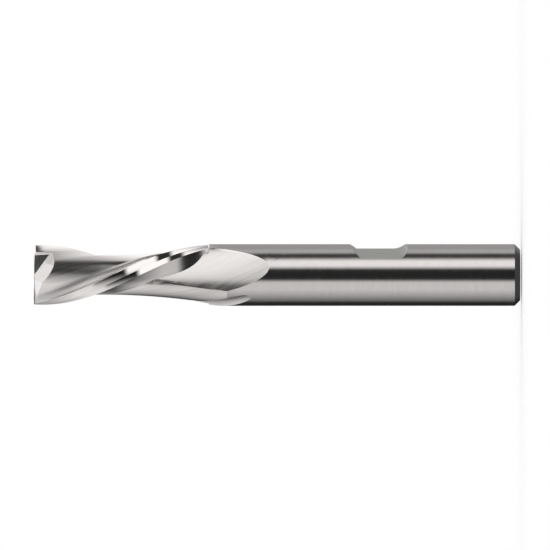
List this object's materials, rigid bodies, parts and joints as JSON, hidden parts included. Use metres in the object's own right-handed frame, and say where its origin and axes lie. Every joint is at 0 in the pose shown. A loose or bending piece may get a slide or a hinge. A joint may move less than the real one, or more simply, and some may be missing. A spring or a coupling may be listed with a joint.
{
  "type": "end mill",
  "caption": "Solid helical end mill with gashed end teeth, flutes that run out into a plain round shank, and a ground clamping flat.",
  "frame": {"origin": "centre of the shank's end face", "axes": "+Z along the tool's axis to the cutting end, +X along the outward normal of the clamping flat"},
  "size_m": [0.008, 0.008, 0.063],
  "materials": {
    "ground_steel": "bright ground high-speed steel"
  },
  "bodies": {
    "root": {"end_mill": "ground_steel"}
  },
  "joints": []
}
